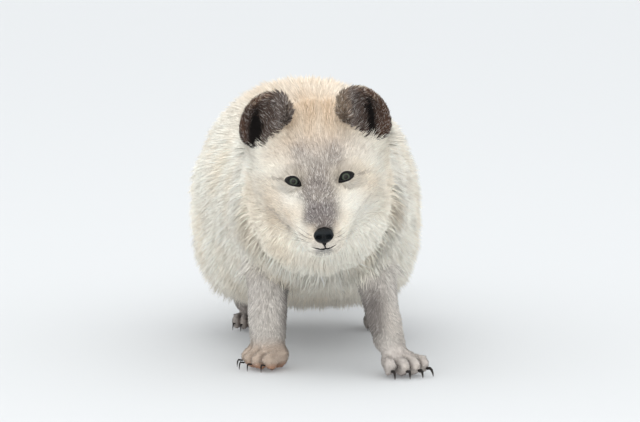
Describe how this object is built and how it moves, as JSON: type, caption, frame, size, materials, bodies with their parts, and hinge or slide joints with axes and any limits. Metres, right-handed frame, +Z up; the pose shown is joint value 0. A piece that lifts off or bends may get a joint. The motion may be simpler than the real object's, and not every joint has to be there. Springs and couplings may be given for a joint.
{
  "type": "arctic fox",
  "caption": "Life-size still model of an arctic fox in pale winter coat, standing low with its head lowered, tail resting on the floor.",
  "frame": {"origin": "on the floor, under the middle of the model's box", "axes": "+X towards the fox's left, +Y from its nose to its tail, +Z up"},
  "size_m": [0.2226, 0.6662, 0.2534],
  "materials": {
    "fur_body": "long dense cream-white winter fur, tan on the crown and the edge of the ruff",
    "fur_mask": "short grey fur flecked with white",
    "fur_leg": "short pale grey fur, darker at the wrists and rusty along the soles",
    "fur_ear": "short dark brown-grey fur, near black inside",
    "nose_leather": "moist black pebbled skin",
    "eye_glass": "clear gloss over a grey-green iris and black pupil",
    "claw_horn": "dark smooth horn"
  },
  "bodies": {
    "root": {"head": "fur_body", "muzzle": "fur_mask", "lower_jaw": "fur_body", "nose_pad": "nose_leather", "eye_left": "eye_glass", "eye_right": "eye_glass", "ear_left": "fur_ear", "ear_right": "fur_ear", "neck": "fur_body", "chest": "fur_body", "loin": "fur_body", "rump": "fur_body", "shoulder_right": "fur_body", "forearm_right": "fur_leg", "forepaw_right_claw_1": "claw_horn", "forepaw_right_claw_2": "claw_horn", "forepaw_right_claw_3": "claw_horn", "forepaw_right_claw_4": "claw_horn", "forepaw_right": "fur_leg", "shoulder_left": "fur_body", "forearm_left": "fur_leg", "forepaw_left_claw_1": "claw_horn", "forepaw_left_claw_2": "claw_horn", "forepaw_left_claw_3": "claw_horn", "forepaw_left_claw_4": "claw_horn", "forepaw_left": "fur_leg", "thigh_right": "fur_body", "hock_right": "fur_leg", "hindpaw_right_claw_1": "claw_horn", "hindpaw_right_claw_2": "claw_horn", "hindpaw_right_claw_3": "claw_horn", "hindpaw_right_claw_4": "claw_horn", "hindpaw_right": "fur_leg", "thigh_left": "fur_body", "hock_left": "fur_leg", "hindpaw_left_claw_1": "claw_horn", "hindpaw_left_claw_2": "claw_horn", "hindpaw_left_claw_3": "claw_horn", "hindpaw_left_claw_4": "claw_horn", "hindpaw_left": "fur_leg", "tail_root": "fur_body", "tail_brush": "fur_body"}
  },
  "joints": []
}
